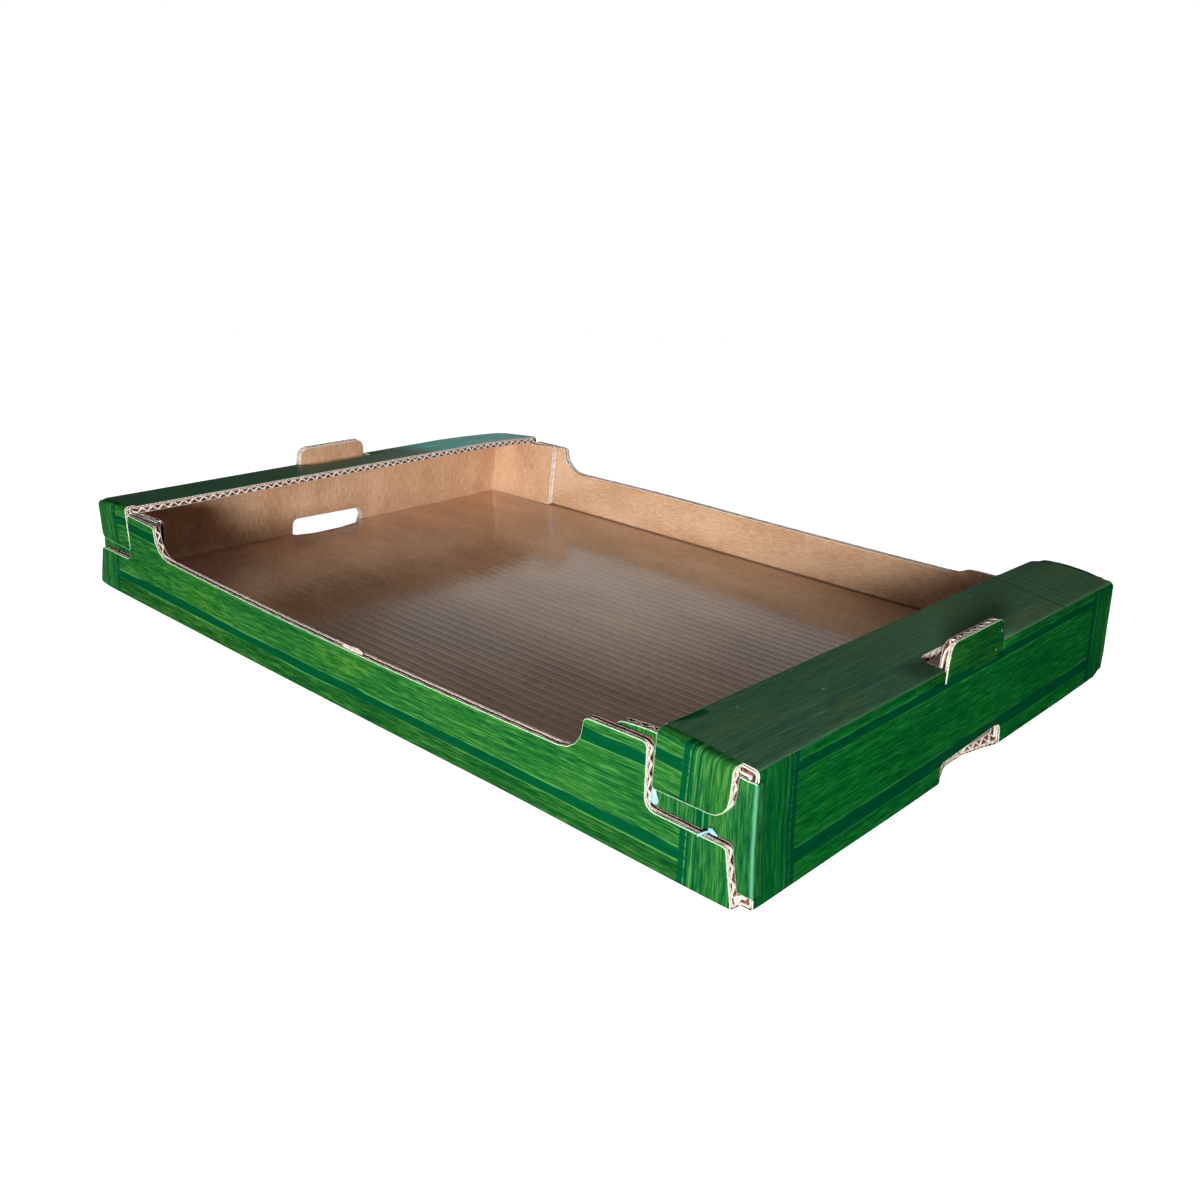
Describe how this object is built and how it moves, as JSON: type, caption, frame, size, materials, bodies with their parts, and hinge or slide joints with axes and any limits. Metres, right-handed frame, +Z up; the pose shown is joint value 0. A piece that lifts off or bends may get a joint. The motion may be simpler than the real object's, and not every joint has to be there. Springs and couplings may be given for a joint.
{
  "type": "cardboard tray box",
  "caption": "Low open tray box folded from printed corrugated board, with a shelf over each end, stacking tabs and slots, and long walls cut low in the middle.",
  "frame": {"origin": "centre of the underside, on the surface that the tray rests on", "axes": "+X along the tray towards its right end, +Y across it towards its back long wall, +Z up out of its open top"},
  "size_m": [0.6, 0.404, 0.0805],
  "materials": {
    "board": "matt",
    "glue": "satin"
  },
  "bodies": {
    "root": {"tray": "board", "glue_strips": "glue", "glue_beads": "glue"}
  },
  "joints": []
}
